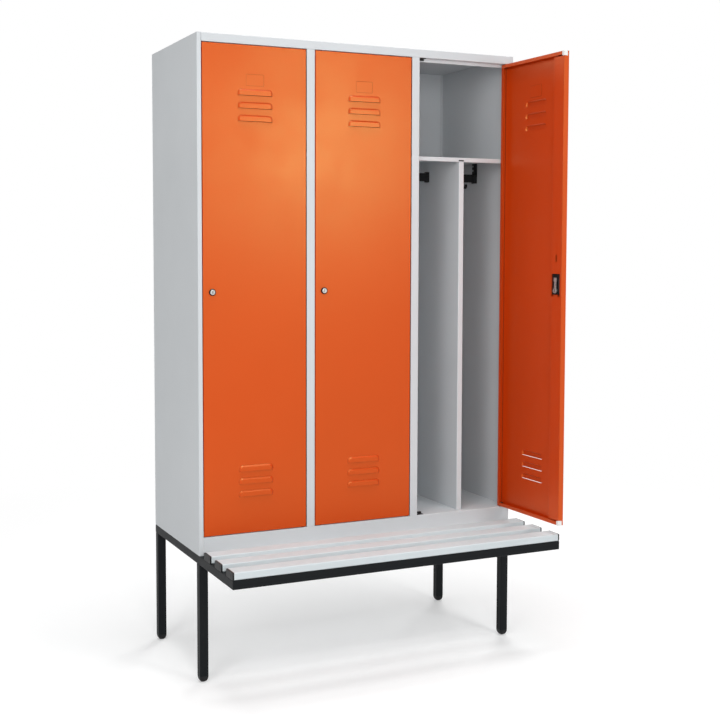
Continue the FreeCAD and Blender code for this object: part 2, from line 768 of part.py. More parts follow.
def make_lock_cam(index):
    """Cam and nut, pointing up: a quarter turn brings the tip behind the frame's return."""
    body = new_door_body("lock_cam", index)
    face = door_back + s.cam_clearance
    neck, tip = s.cam_neck_width / 2, s.cam_tip_width / 2
    shoulder, end = lock_z + s.cam_length - s.cam_tip_length, lock_z + s.cam_length
    arm = [(lock_x - neck, lock_z), (lock_x + neck, lock_z), (lock_x + neck, shoulder),
           (lock_x + tip, shoulder + tip - neck), (lock_x + tip, end, tip / 2), (lock_x - tip, end, tip / 2),
           (lock_x - tip, shoulder + tip - neck), (lock_x - neck, shoulder)]
    extrude(body, "XZ", face, s.cam_thickness, [arm])
    extrude(body, "XZ", face, s.cam_hub_height, [hexagon(lock_x, lock_z, s.cam_hub_radius)])
    cut(body, "XZ", face, s.cam_hub_height,
        circles=[(lock_x, lock_z, s.shank_radius + s.running_clearance)])


def make_corner_buffers(index):
    """Plastic corners that fill the notches at the free edge and meet the stop pads."""
    body = new_door_body("corner_buffers", index)
    left, right = free_edge, free_edge + s.buffer_width
    depth = door_back + s.buffer_proud - door_front - s.buffer_setback
    low_high = s.buffer_height
    lower = [(left, 0), (right, 0), (right, low_high, s.buffer_corner), (left, low_high)]
    upper = [(left, door_height - low_high), (right, door_height - low_high, s.buffer_corner),
             (right, door_height), (left, door_height)]
    extrude(body, "XZ", door_front + s.buffer_setback, depth, [lower, upper])


def make_hinge_bushes(index):
    body = new_door_body("hinge_bushes", index)
    bore, barrel = (0, 0, s.pin_radius + s.running_clearance), (0, 0, s.bush_radius)
    flange = hexagon(0, 0, s.bush_flange_radius)
    lip = s.bush_flange_height
    for flange_low, barrel_low in ((-lip, as_size(0)), (door_height, door_height - s.bush_length)):
        extrude(body, "XY", flange_low, lip, [flange], [bore])
        extrude(body, "XY", barrel_low, s.bush_length, circles=[barrel, bore])


# Bench base.

def tube_loops(u=0, v=0):
    half, hollow = s.tube_size / 2, s.tube_size / 2 - s.tube_wall
    return [rectangle(u - half, v - half, u + half, v + half, s.tube_radius),
            rectangle(u - hollow, v - hollow, u + hollow, v + hollow)]


def rail_centre_height():
    return s.base_height - s.tube_size / 2


def slat_front_edges():
    """Front edge of each slat, from the rear slat to the one over the front rail."""
    first = -s.slat_rear_gap - s.slat_width
    last = -s.bench_depth
    return {"rear": first, "middle": (first + last) / 2, "front": last}


def make_side_rail(label, inward):
    body = new_body(label)
    outside = -half_width * inward
    inside = outside + s.tube_size * inward
    extrude(body, "XZ", -s.bench_depth, s.bench_depth + s.cabinet_depth,
            tube_loops(outside + s.tube_size / 2 * inward, rail_centre_height()))
    mitres = [[(outside, end), (inside, end), (inside, end + s.tube_size * into)]
              for end, into in ((-s.bench_depth, 1), (s.cabinet_depth, -1))]
    cut(body, "XY", s.base_height - s.tube_size, s.tube_size, mitres)


def make_end_rail(label, outside, into):
    """Front or rear rail, mitred to the side rails."""
    body = new_body(label)
    inside = outside + s.tube_size * into
    extrude(body, "YZ", -half_width, s.cabinet_width,
            tube_loops(outside + s.tube_size / 2 * into, rail_centre_height()))
    mitres = [[(half_width * side, outside), (half_width * side, inside),
               ((half_width - s.tube_size) * side, inside)] for side in (-1, 1)]
    cut(body, "XY", s.base_height - s.tube_size, s.tube_size, mitres)


def make_cross_rail():
    body = new_body("cross_rail")
    span = half_width - s.tube_size
    extrude(body, "YZ", -span, 2 * span, tube_loops(s.tube_size / 2, rail_centre_height()))


def leg_places():
    x = half_width - s.tube_size / 2
    y_front, y_rear = s.tube_size / 2, s.cabinet_depth - s.tube_size / 2
    return {f"{end}_{side}": (x * sign, y) for end, y in (("front", y_front), ("rear", y_rear))
            for side, sign in (("left", -1), ("right", 1))}


def make_leg(place, x, y):
    body = new_body(f"leg_{place}")
    extrude(body, "XY", s.foot_height, s.base_height - s.tube_size - s.foot_height, tube_loops(x, y))


def make_foot_caps():
    """Plastic feet with a bevelled sole that plug into the legs."""
    body = new_body("foot_caps")
    half = s.tube_size / 2
    plug = half - s.tube_wall - s.foot_plug_clearance
    for x, y in leg_places().values():
        extrude(body, "XY", as_size(0), s.foot_height, [rectangle(x - half, y - half, x + half, y + half)])
    dress_edges(body, "Chamfer", s.foot_bevel, lambda box: near(box.ZMax, as_size(0)))
    for x, y in leg_places().values():
        extrude(body, "XY", s.foot_height, s.foot_plug_length,
                [rectangle(x - plug, y - plug, x + plug, y + plug)])


def slat_chambers(edge, slack):
    """The two hollows of a slat, either side of its screw web."""
    low, high = s.base_height + s.slat_wall + slack, s.base_height + s.slat_height - s.slat_wall - slack
    near_wall, far_wall = edge + s.slat_wall + slack, edge + s.slat_width - s.slat_wall - slack
    web = s.slat_screw_web / 2 + slack
    middle = edge + s.slat_width / 2
    return [rectangle(near_wall, low, middle - web, high), rectangle(middle + web, low, far_wall, high)]


def slat_outline(edge):
    return rectangle(edge, s.base_height, edge + s.slat_width, s.base_height + s.slat_height, s.slat_radius)


def make_bench_slat(place, edge):
    body = new_body(f"bench_slat_{place}")
    span = half_width - s.cap_thickness
    extrude(body, "YZ", -span, 2 * span, [slat_outline(edge), *slat_chambers(edge, 0 * gauge)])


def make_slat_end_caps():
    body = new_body("slat_end_caps")
    for edge in slat_front_edges().values():
        for outer, into in ((-half_width, 1), (half_width, -1)):
            face = outer if into > 0 else outer - s.cap_thickness
            plug = outer + s.cap_thickness if into > 0 else outer - s.cap_thickness - s.cap_plug_length
            extrude(body, "YZ", face, s.cap_thickness, [slat_outline(edge)])
            extrude(body, "YZ", plug, s.cap_plug_length, slat_chambers(edge, s.seam_gap))


def build():
    make_side_panel("side_panel_left", 1, True)
    make_side_panel("side_panel_right", -1, False)
    make_partition("partition_left", -module / 2)
    make_partition("partition_right", module / 2)
    make_back_panel()
    make_top_panel()
    make_bottom_panel()
    for index in range(len(COMPARTMENTS)):
        make_hat_shelf(index)
        make_centre_divider(index)
        make_coat_rail(index)
    make_divider_clips()
    make_rail_brackets()
    make_hinge_pins()
    make_stop_pads()

    for index in range(len(COMPARTMENTS)):
        make_door_panel(index)
        make_lock_stile(index)
        make_lock_case(index)
        make_lock_ring(index)
        make_lock_cylinder(index)
        make_lock_cam(index)
        make_corner_buffers(index)
        make_hinge_bushes(index)

    make_side_rail("side_rail_left", 1)
    make_side_rail("side_rail_right", -1)
    make_end_rail("front_rail", -s.bench_depth, 1)
    make_end_rail("rear_rail", s.cabinet_depth, -1)
    make_cross_rail()
    for place, (x, y) in leg_places().items():
        make_leg(place, x, y)
    make_foot_caps()
    for place, edge in slat_front_edges().items():
        make_bench_slat(place, edge)
    make_slat_end_caps()
    doc.recompute()


def check():
    """Stop if a feature failed, a shape is unsound or a cut took nothing away."""
    for item in doc.Objects:
        if {"Invalid", "Error"} & set(item.State):
            raise RuntimeError(f"{item.Label} failed: {item.State}")
        if item.TypeId == "PartDesign::Pocket":
            if item.Shape.Volume >= item.BaseFeature.Shape.Volume - 1e-6:
                raise RuntimeError(f"{item.Label} of {item.getParent().Label} cuts nothing")
    for body in subparts:
        if body.Shape.isNull() or not body.Shape.isValid():
            raise RuntimeError(f"{body.Label} has no sound shape")


build()
check()
os.makedirs("parts", exist_ok=True)
for body in subparts:
    body.Shape.exportStep(os.path.join("parts", f"{body.Label}.step"))
print(len(subparts), "sub-parts, front plane at y", round(front.value, 3))
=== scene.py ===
"""Looks of the clothes locker on its bench frame: finishes, small fasteners, feet, light and camera."""
import json
import math

import bmesh
import bpy
from mathutils import Euler, Matrix, Vector


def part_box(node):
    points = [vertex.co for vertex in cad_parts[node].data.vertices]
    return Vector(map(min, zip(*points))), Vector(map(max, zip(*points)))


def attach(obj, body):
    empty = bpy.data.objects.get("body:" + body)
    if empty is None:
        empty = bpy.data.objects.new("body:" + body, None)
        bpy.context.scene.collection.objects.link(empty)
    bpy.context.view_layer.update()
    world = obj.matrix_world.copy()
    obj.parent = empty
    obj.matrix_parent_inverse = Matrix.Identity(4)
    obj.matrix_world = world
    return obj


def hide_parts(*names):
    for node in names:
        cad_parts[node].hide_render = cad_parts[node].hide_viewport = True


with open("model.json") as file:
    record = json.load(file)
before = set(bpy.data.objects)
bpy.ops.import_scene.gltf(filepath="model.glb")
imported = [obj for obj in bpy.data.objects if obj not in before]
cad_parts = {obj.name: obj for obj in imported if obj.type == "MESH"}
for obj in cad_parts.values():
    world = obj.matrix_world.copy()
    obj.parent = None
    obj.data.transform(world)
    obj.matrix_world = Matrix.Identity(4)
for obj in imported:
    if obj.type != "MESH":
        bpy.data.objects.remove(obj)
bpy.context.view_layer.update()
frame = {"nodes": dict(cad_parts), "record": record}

# Lengths are in metres.

SIDES = ("left", "middle", "right")
CABINET_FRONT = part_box("partition_left")[0].y
RAIL_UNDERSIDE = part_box("cross_rail")[0].z


def middle(node):
    low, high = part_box(node)
    return (low + high) / 2


# Finishes.

GRAIN_RANGE = (0.3, 0.7)  # holds nearly all of a noise


class Finish:
    """A material under construction: a main shader and short ways to add the nodes that feed it."""

    def __init__(self, name):
        self.material = bpy.data.materials.new(name)
        self.material.use_nodes = True
        self.nodes = self.material.node_tree.nodes
        self.links = self.material.node_tree.links
        self.shader = self.nodes["Principled BSDF"]
        self.place = self.nodes.new("ShaderNodeTexCoord").outputs["Object"]

    def feed(self, socket, value):
        if isinstance(value, bpy.types.NodeSocket):
            self.links.new(value, socket)
        else:
            socket.default_value = value

    def stretched(self, scale):
        mapping = self.nodes.new("ShaderNodeMapping")
        mapping.inputs["Scale"].default_value = scale
        self.links.new(self.place, mapping.inputs["Vector"])
        return mapping.outputs["Vector"]

    def grain(self, scale, detail=2.0, rough=0.5, stretch=None):
        """Noise from 0 to 1; scale is in spots per metre."""
        noise = self.nodes.new("ShaderNodeTexNoise")
        noise.inputs["Scale"].default_value = scale
        noise.inputs["Detail"].default_value = detail
        noise.inputs["Roughness"].default_value = rough
        self.links.new(self.stretched(stretch) if stretch else self.place, noise.inputs["Vector"])
        return noise.outputs["Fac"]

    def spread(self, value, low, high, to_low=0.0, to_high=1.0):
        """Map low..high of a value to to_low..to_high, with both ends clamped."""
        node = self.nodes.new("ShaderNodeMapRange")
        self.feed(node.inputs["Value"], value)
        ends = {"From Min": low, "From Max": high, "To Min": to_low, "To Max": to_high}
        for name, number in ends.items():
            node.inputs[name].default_value = number
        return node.outputs["Result"]

    def math(self, operation, *values):
        node = self.nodes.new("ShaderNodeMath")
        node.operation = operation
        for socket, value in zip(node.inputs, values):
            self.feed(socket, value)
        return node.outputs["Value"]

    def distance(self, along, across):
        squares = [self.math("POWER", leg, 2.0) for leg in (along, across)]
        return self.math("SQRT", self.math("ADD", *squares))

    def mix(self, amount, first, second):
        node = self.nodes.new("ShaderNodeMix")
        node.data_type = "RGBA"
        self.feed(node.inputs["Factor"], amount)
        colours = [socket for socket in node.inputs if socket.type == "RGBA"]
        for socket, value in zip(colours, (first, second)):
            self.feed(socket, value)
        return next(socket for socket in node.outputs if socket.type == "RGBA")

    def parts(self):
        """The x, y and z of a point of the piece."""
        node = self.nodes.new("ShaderNodeSeparateXYZ")
        self.links.new(self.place, node.inputs["Vector"])
        return [node.outputs[axis] for axis in "XYZ"]

    def soft_edges(self, radius):
        """Normals rounded along edges, and how strongly each point lies on an edge."""
        flat_match, edge_match = 0.995, 0.85
        bevel = self.nodes.new("ShaderNodeBevel")
        bevel.samples = 4
        bevel.inputs["Radius"].default_value = radius
        flat = self.nodes.new("ShaderNodeNewGeometry").outputs["True Normal"]
        match = self.nodes.new("ShaderNodeVectorMath")
        match.operation = "DOT_PRODUCT"
        self.links.new(bevel.outputs["Normal"], match.inputs[0])
        self.links.new(flat, match.inputs[1])
        return bevel.outputs["Normal"], self.spread(match.outputs["Value"], flat_match, edge_match)

    def folds(self, reach):
        """How deep a point lies in a fold of its own piece: 0 in the open, 1 in a sharp corner."""
        open_sky, corner_sky = 0.97, 0.72
        hidden = self.nodes.new("ShaderNodeAmbientOcclusion")
        hidden.samples = 8
        hidden.only_local = True
        hidden.inputs["Distance"].default_value = reach
        return self.spread(hidden.outputs["AO"], open_sky, corner_sky)

    def relief(self, height, strength, depth, normal):
        bump = self.nodes.new("ShaderNodeBump")
        bump.inputs["Strength"].default_value = strength
        bump.inputs["Distance"].default_value = depth
        self.links.new(height, bump.inputs["Height"])
        self.links.new(normal, bump.inputs["Normal"])
        return bump.outputs["Normal"]

    def wear(self, edges, scale):
        """Edge wear: edges broken up by a coarse grain."""
        broken = self.spread(self.grain(scale, detail=4.0, rough=0.6), 0.45, 0.75)
        return self.math("MULTIPLY", edges, broken)

    def done(self, colour, roughness, normal):
        self.feed(self.shader.inputs["Base Color"], colour)
        self.feed(self.shader.inputs["Roughness"], roughness)
        self.feed(self.shader.inputs["Normal"], normal)
        return self.material


def shade(colour, factor):
    return (*(min(1.0, channel * factor) for channel in colour), 1.0)


def powder_coat(name, colour, gloss, specular, peel=0.5, sand=0.0, weld_marks=None, edge=1.25,
                sheen=(1.0, 1.0, 1.0), fold_shade=None):
    """Baked powder paint: slow drift of tone, fine speckle, orange peel and lightly rubbed edges.

    Rubbed edges are paler by the factor edge. With a fold factor, the paint is dull in the folds of the
    sheet, and its colour there is darker by that factor: painted shade in the folds.
    """
    coat = Finish(name)
    coat.shader.inputs["Specular IOR Level"].default_value = specular
    coat.shader.inputs["Specular Tint"].default_value = (*sheen, 1.0)
    rounded, edges = coat.soft_edges(radius=0.0011)

    drift = coat.spread(coat.grain(scale=1.7, detail=3.0), *GRAIN_RANGE)
    tone = coat.mix(drift, shade(colour, 0.965), shade(colour, 1.03))
    speckle = coat.spread(coat.grain(scale=1400.0, detail=1.0), 0.35, 0.7, to_high=0.10)
    tone = coat.mix(speckle, tone, shade(colour, 0.75))
    rubbed = coat.wear(edges, scale=38.0)
    tone = coat.mix(coat.math("MULTIPLY", rubbed, 0.35), tone, shade(colour, edge))

    patches = coat.grain(scale=6.0, detail=4.0, rough=0.6)
    patches = coat.spread(patches, *GRAIN_RANGE, to_low=gloss - 0.035, to_high=gloss + 0.04)
    roughness = coat.math("ADD", patches, coat.math("MULTIPLY", rubbed, 0.12))
    if fold_shade:
        folds = coat.folds(reach=0.003)
        # Painted shade: the colour is darker in the folds of the sheet, where shade falls.
        tone = coat.mix(folds, tone, shade(colour, fold_shade))
        roughness = coat.math("ADD", roughness, coat.math("MULTIPLY", folds, 0.45))

    normal = coat.relief(coat.grain(scale=330.0), strength=peel, depth=0.00022, normal=rounded)
    if sand:
        normal = coat.relief(coat.grain(scale=1900.0), strength=sand, depth=0.00025, normal=normal)
    if weld_marks:
        normal = coat.relief(weld_marks(coat), strength=0.5, depth=0.0006, normal=normal)
    return coat.done(tone, roughness, normal)


def rows_of_spot_welds(coat):
    """Shallow round marks where the back sheet is welded to the flanges behind its edges."""
    pitch, inset, radius = 0.12, 0.006, 0.0032
    flat_radius = 0.55 * radius
    whole_pitches = 10 * pitch  # past half the width, so that lengths across are positive
    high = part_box("back_panel")[1]
    mid_height = middle("back_panel").z
    x, _, z = coat.parts()

    to_side = coat.math("SUBTRACT", coat.math("ABSOLUTE", x), high.x - inset)
    along_side = coat.math("PINGPONG", z, pitch / 2)
    upright_rows = coat.spread(coat.distance(to_side, along_side), radius, flat_radius)

    from_middle = coat.math("ABSOLUTE", coat.math("SUBTRACT", z, mid_height))
    to_end = coat.math("SUBTRACT", from_middle, high.z - mid_height - inset)
    along_end = coat.math("PINGPONG", coat.math("ADD", x, whole_pitches), pitch / 2)
    level_rows = coat.spread(coat.distance(to_end, along_end), radius, flat_radius)
    return coat.math("SUBTRACT", 1.0, coat.math("MAXIMUM", upright_rows, level_rows))


def moulded_plastic(name, colour, gloss, grain_scale, grain_depth, specular=0.4, edge=1.6):
    """Injection-moulded plastic with a fine spark-eroded grain and paler, polished edges."""
    plastic = Finish(name)
    plastic.shader.inputs["Specular IOR Level"].default_value = specular
    rounded, edges = plastic.soft_edges(radius=0.0007)

    drift = plastic.spread(plastic.grain(scale=22.0, detail=3.0), *GRAIN_RANGE)
    tone = plastic.mix(drift, shade(colour, 0.88), shade(colour, 1.12))
    rubbed = plastic.wear(edges, scale=160.0)
    tone = plastic.mix(plastic.math("MULTIPLY", rubbed, 0.5), tone, shade(colour, edge))

    clouds = plastic.grain(scale=60.0, detail=3.0)
    clouds = plastic.spread(clouds, *GRAIN_RANGE, to_low=gloss - 0.05, to_high=gloss + 0.06)
    roughness = plastic.math("SUBTRACT", clouds, plastic.math("MULTIPLY", edges, 0.08))
    grain = plastic.grain(grain_scale)
    normal = plastic.relief(grain, strength=0.45, depth=grain_depth, normal=rounded)
    return plastic.done(tone, roughness, normal)


def extruded_slat(name, colour):
    """Extruded plastic slat: drawn lines along its length and light scuffs over a soft, cool grey."""
    drawn_stretch, scuff_stretch = (3.0, 420.0, 420.0), (14.0, 90.0, 90.0)
    slat = Finish(name)
    slat.shader.inputs["Specular IOR Level"].default_value = 0.03
    rounded, edges = slat.soft_edges(radius=0.0010)

    drift = slat.spread(slat.grain(scale=3.0, detail=3.0), *GRAIN_RANGE)
    tone = slat.mix(drift, shade(colour, 0.965), shade(colour, 1.03))
    drawn = slat.grain(scale=1.0, detail=3.0, rough=0.6, stretch=drawn_stretch)
    tone = slat.mix(slat.spread(drawn, 0.45, 0.75, to_high=0.16), tone, shade(colour, 0.80))
    scuffs = slat.grain(scale=1.0, detail=4.0, rough=0.65, stretch=scuff_stretch)
    tone = slat.mix(slat.spread(scuffs, 0.62, 0.75, to_high=0.10), tone, shade(colour, 0.70))
    rubbed = slat.wear(edges, scale=30.0)
    tone = slat.mix(slat.math("MULTIPLY", rubbed, 0.3), tone, shade(colour, 1.2))

    roughness = slat.spread(drawn, *GRAIN_RANGE, to_low=0.54, to_high=0.68)
    normal = slat.relief(drawn, strength=0.35, depth=0.00012, normal=rounded)
    normal = slat.relief(slat.grain(scale=900.0), strength=0.15, depth=0.0001, normal=normal)
    return slat.done(tone, roughness, normal)


def plated_zinc(name, colour, brush_stretch):
    """Bright plated metal: fine brush lines, clouded plating and polished edges."""
    metal = Finish(name)
    metal.shader.inputs["Metallic"].default_value = 1.0
    rounded, edges = metal.soft_edges(radius=0.0005)
    lines = metal.grain(scale=1.0, detail=3.0, rough=0.6, stretch=brush_stretch)
    clouds = metal.spread(metal.grain(scale=120.0, detail=3.0), *GRAIN_RANGE)
    tone = metal.mix(clouds, shade(colour, 0.86), shade(colour, 1.06))
    tone = metal.mix(metal.math("MULTIPLY", edges, 0.5), tone, shade(colour, 1.25))
    roughness = metal.spread(lines, *GRAIN_RANGE, to_low=0.24, to_high=0.42)
    normal = metal.relief(lines, strength=0.25, depth=0.00006, normal=rounded)
    return metal.done(tone, roughness, normal)


PALE_GREY = (0.608, 0.636, 0.656)
# Painted light: the back panel has the carcass grey made 12 % lighter, so the inside of the cabinet shows
# brighter.
BACK_GREY_PAINTED_LIGHTER = shade(PALE_GREY, 1.12)[:3]
ORANGE = (0.595, 0.044, 0.0020)
ORANGE_SHEEN = (1.0, 0.97, 0.33)
ANTHRACITE = (0.0064, 0.0078, 0.0092)
SLAT_GREY = (0.606, 0.662, 0.684)
BLACK = (0.0085, 0.0085, 0.0092)
WHITE = (0.80, 0.80, 0.785)
SCREW_ZINC = (0.60, 0.60, 0.585)
LOCK_ZINC = (0.44, 0.44, 0.43)
CAM_ZINC = (0.80, 0.80, 0.79)

carcass_coat = powder_coat("carcass_powder_coat", PALE_GREY, gloss=0.43, specular=0.32)
# Painted light: the back panel's paint is a lighter copy of the carcass paint.
back_coat_painted_lighter = powder_coat("back_powder_coat_painted_lighter", BACK_GREY_PAINTED_LIGHTER, gloss=0.45, specular=0.30,
                        weld_marks=rows_of_spot_welds)
door_coat = powder_coat("door_powder_coat", ORANGE, gloss=0.34, specular=0.76, peel=0.4, edge=1.3,
                        sheen=ORANGE_SHEEN, fold_shade=0.42)
base_coat = powder_coat("base_powder_coat", ANTHRACITE, gloss=0.52, specular=0.12, sand=0.35, edge=2.4)
slat_plastic = extruded_slat("slat_extrusion", SLAT_GREY)
black_plastic = moulded_plastic("black_moulding", BLACK, gloss=0.48, grain_scale=700.0,
                                grain_depth=0.00012, specular=0.22)
white_plastic = moulded_plastic("white_moulding", WHITE, gloss=0.42, grain_scale=800.0,
                                grain_depth=0.00008, edge=1.1)
lock_zinc = plated_zinc("lock_plating", LOCK_ZINC, brush_stretch=(900.0, 900.0, 30.0))
cam_zinc = plated_zinc("cam_plating", CAM_ZINC, brush_stretch=(300.0, 300.0, 60.0))
screw_zinc = plated_zinc("screw_plating", SCREW_ZINC, brush_stretch=(500.0, 500.0, 500.0))

FINISH_OF_SLOT = {
    "carcass_paint": carcass_coat,
    "door_paint": door_coat,
    "base_paint": base_coat,
    "slat_plastic": slat_plastic,
    "black_plastic": black_plastic,
    "white_plastic": white_plastic,
    "lock_zinc": lock_zinc,
}
FINISH_OF_NODE = {"back_panel": back_coat_painted_lighter, **{f"lock_cam_{side}": cam_zinc for side in SIDES}}


def dress(piece, material):
    piece.data.materials.clear()
    piece.data.materials.append(material)


def dress_cad_nodes():
    for subpart in frame["record"]["subparts"]:
        node = frame["nodes"][subpart["node"]]
        material = FINISH_OF_NODE.get(subpart["node"], FINISH_OF_SLOT[subpart["material_slot"]])
        for slot in node.material_slots:
            slot.material = material


# Modelling.

NEAR = 1e-5  # two places this close count as one
FLAT = 0.9  # a face lies across an axis when its normal has at least this much along it


def deselect():
    if bpy.context.object and bpy.context.object.mode != "OBJECT":
        bpy.ops.object.mode_set(mode="OBJECT")
    bpy.ops.object.select_all(action="DESELECT")


def begin(name):
    """Take the primitive that was just added: name it and put its place and size in its mesh."""
    piece = bpy.context.object
    piece.name = piece.data.name = name
    bpy.ops.object.transform_apply(location=True, rotation=True, scale=True)
    bpy.ops.object.mode_set(mode="EDIT")
    bpy.ops.mesh.select_all(action="DESELECT")
    return piece


def pick_faces(piece, wanted):
    """Select the faces whose normal suits, and nothing else."""
    bpy.ops.mesh.select_mode(type="FACE")
    bpy.ops.mesh.select_all(action="DESELECT")
    shape = bmesh.from_edit_mesh(piece.data)
    for face in shape.faces:
        face.select_set(wanted(face.normal))
    bmesh.update_edit_mesh(piece.data)


def pick_edges(piece, wanted):
    """Select the edges whose two ends suit, and nothing else."""
    bpy.ops.mesh.select_mode(type="EDGE")
    bpy.ops.mesh.select_all(action="DESELECT")
    shape = bmesh.from_edit_mesh(piece.data)
    for edge in shape.edges:
        edge.select_set(wanted(*(vertex.co for vertex in edge.verts)))
    bmesh.update_edit_mesh(piece.data)


def end(piece, smooth_angle=40.0):
    bpy.ops.object.mode_set(mode="OBJECT")
    deselect()
    piece.select_set(True)
    bpy.context.view_layer.objects.active = piece
    bpy.ops.object.shade_smooth_by_angle(angle=math.radians(smooth_angle))
    deselect()


def copy_to(piece, name, move):
    """A copy with a mesh of its own, set in its place by that mesh."""
    twin = piece.copy()
    twin.data = piece.data.copy()
    twin.name = twin.data.name = name
    twin.data.transform(move)
    bpy.context.collection.objects.link(twin)
    return twin


def repeat(make, places):
    """Model a piece at the first of the named places and copy it to the others."""
    (first_name, first_place), *others = places.items()
    first = make(first_name, first_place)
    moves = {name: Matrix.Translation(place - first_place) for name, place in others}
    return [first] + [copy_to(first, name, move) for name, move in moves.items()]


def join(pieces, name):
    deselect()
    for piece in pieces:
        piece.select_set(True)
    bpy.context.view_layer.objects.active = pieces[0]
    bpy.ops.object.join()
    pieces[0].name = pieces[0].data.name = name
    deselect()
    return pieces[0]


def fit(piece, body, material):
    dress(piece, material)
    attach(piece, body)


# Feet: caps with a rounded sole in place of the plain ones.

FOOT_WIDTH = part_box("leg_front_left")[1].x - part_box("leg_front_left")[0].x
FOOT_HEIGHT, FOOT_CORNER, FOOT_RIM = 0.020, 0.0030, 0.0006
SOLE_RADIUS, SOLE_STRETCH = 0.0110, 1.75
FOOT_PLUG_INSET, FOOT_PLUG_LENGTH = 0.0023, 0.025


def make_foot(name, place):
    """Foot cap: the sole is rounded on a low block, which is then stretched to its full height."""
    deselect()
    block = FOOT_HEIGHT / SOLE_STRETCH
    bpy.ops.mesh.primitive_cube_add(size=1.0, location=place + Vector((0.0, 0.0, block / 2)),
                                    scale=(FOOT_WIDTH, FOOT_WIDTH, block))
    foot = begin(name)
    pick_edges(foot, lambda a, b: max(a.z, b.z) < NEAR)
    bpy.ops.mesh.bevel(offset=SOLE_RADIUS, segments=8, profile=0.5, affect="EDGES")

    def on_one_corner(a, b):
        ends = [(point.x - place.x, point.y - place.y) for point in (a, b)]
        same = all(first * second > 0 for first, second in zip(*ends))
        return same and all(abs(abs(u) - abs(v)) < NEAR for u, v in ends)

    pick_edges(foot, on_one_corner)
    bpy.ops.mesh.bevel(offset=FOOT_CORNER, segments=3, affect="EDGES", clamp_overlap=True)
    bpy.ops.mesh.select_all(action="SELECT")
    bpy.ops.transform.resize(value=(1.0, 1.0, SOLE_STRETCH), center_override=place)
    pick_faces(foot, lambda normal: normal.z > FLAT)
    bpy.ops.mesh.inset(thickness=FOOT_RIM, depth=0.0)
    bpy.ops.mesh.inset(thickness=FOOT_PLUG_INSET - FOOT_RIM, depth=0.0)
    bpy.ops.mesh.extrude_region_move(TRANSFORM_OT_translate={"value": (0.0, 0.0, FOOT_PLUG_LENGTH)})
    end(foot, smooth_angle=35.0)
    return foot


def make_feet():
    places = {}
    for leg in ("front_left", "front_right", "rear_left", "rear_right"):
        at = middle(f"leg_{leg}")
        places[f"foot_{leg}"] = Vector((at.x, at.y, 0.0))
    feet = join(repeat(make_foot, places), "foot_pads")
    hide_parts("foot_caps")
    fit(feet, "carcass", black_plastic)


# Small fasteners.

BOLT_FROM_MIDDLE = 0.7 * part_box("side_panel_right")[1].x
WASHER_RADIUS, WASHER_HEIGHT, WASHER_BEVEL = 0.0085, 0.0015, 0.0004
BOLT_RADIUS, BOLT_HEIGHT, BOLT_CORNER = 0.0065, 0.0050, 0.0003
BOLT_CHAMFER, BOLT_CROWN = 0.0011, 0.0006
BOLT_DISH_RIM, BOLT_DISH_DEPTH = 0.0018, 0.0004
SLAT_SCREW = {"radius": 0.0048, "height": 0.0026}
BRACKET_SCREW = {"radius": 0.0034, "height": 0.0016}
BRACKET_PLATE = 0.004
BRACKET_SCREW_BACK = 0.023  # behind the front of a bracket
BRACKET_SCREW_DROPS = (0.010, 0.026)  # below its top


def make_hex_bolt(name, seat):
    """Bolt head with its washer, seen from below; seat is the middle of the face the washer lies on."""
    deselect()
    washer_middle = seat.z - WASHER_HEIGHT / 2
    bpy.ops.mesh.primitive_cylinder_add(vertices=32, radius=WASHER_RADIUS, depth=WASHER_HEIGHT,
                                        location=(seat.x, seat.y, washer_middle))
    washer = begin(f"{name}_washer")
    pick_edges(washer, lambda a, b: max(a.z, b.z) < washer_middle)
    bpy.ops.mesh.bevel(offset=WASHER_BEVEL, segments=2, affect="EDGES")
    end(washer)

    head_middle = seat.z - WASHER_HEIGHT - BOLT_HEIGHT / 2
    bpy.ops.mesh.primitive_cylinder_add(vertices=6, radius=BOLT_RADIUS, depth=BOLT_HEIGHT,
                                        location=(seat.x, seat.y, head_middle))
    head = begin(f"{name}_head")
    pick_faces(head, lambda normal: normal.z < -FLAT)
    bpy.ops.mesh.inset(thickness=BOLT_CHAMFER, depth=0.0)
    bpy.ops.transform.translate(value=(0.0, 0.0, -BOLT_CROWN))
    bpy.ops.mesh.inset(thickness=BOLT_DISH_RIM, depth=-BOLT_DISH_DEPTH)
    pick_edges(head, lambda a, b: abs(a.z - b.z) > BOLT_HEIGHT / 2)
    bpy.ops.mesh.bevel(offset=BOLT_CORNER, segments=2, affect="EDGES")
    end(head)
    return join([head, washer], name)


def make_pan_screw(name, seat, radius, height):
    """Domed screw head with a tapered socket, looking down; seat is the middle of the face it lies on."""
    dome, rim = 0.45 * radius, 0.08 * radius
    socket_depth, socket_taper, crown = 0.45 * height, 0.55, 0.98
    deselect()
    screw_middle = seat.z - height / 2
    bpy.ops.mesh.primitive_cylinder_add(vertices=24, radius=radius, depth=height,
                                        location=(seat.x, seat.y, screw_middle))
    screw = begin(name)
    pick_edges(screw, lambda a, b: max(a.z, b.z) < screw_middle)
    bpy.ops.mesh.bevel(offset=dome, segments=4, affect="EDGES")
    pick_faces(screw, lambda normal: normal.z < -crown)
    bpy.ops.mesh.inset(thickness=rim, depth=0.0)
    bpy.ops.mesh.extrude_region_move(TRANSFORM_OT_translate={"value": (0.0, 0.0, socket_depth)})
    bpy.ops.transform.resize(value=(socket_taper, socket_taper, 1.0), center_override=seat)
    end(screw)
    return screw


